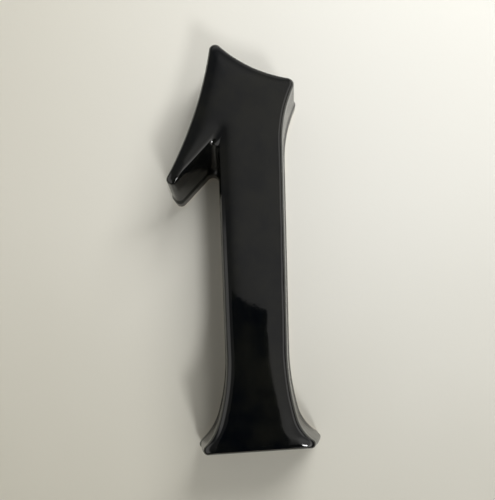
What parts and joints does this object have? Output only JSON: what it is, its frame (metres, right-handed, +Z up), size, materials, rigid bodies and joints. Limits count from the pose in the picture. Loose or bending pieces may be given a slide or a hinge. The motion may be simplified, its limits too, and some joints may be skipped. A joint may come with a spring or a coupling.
{
  "type": "house number",
  "caption": "Raised numeral one for a house front, with a short pointed flag and a flared foot, softly rounded toward a flat face; cast hollow, open at the back, with a flat rim for the wall",
  "frame": {"origin": "Middle of the back rim's strip under the foot, in the plane of the wall, centred on the foot", "axes": "+X to the right for someone who reads the number, +Y into the wall, +Z up the number; the face looks along -Y"},
  "size_m": [0.0524, 0.026, 0.1524],
  "materials": {
    "black_glaze": "high gloss"
  },
  "bodies": {
    "root": {"house_number": "black_glaze"}
  },
  "joints": []
}
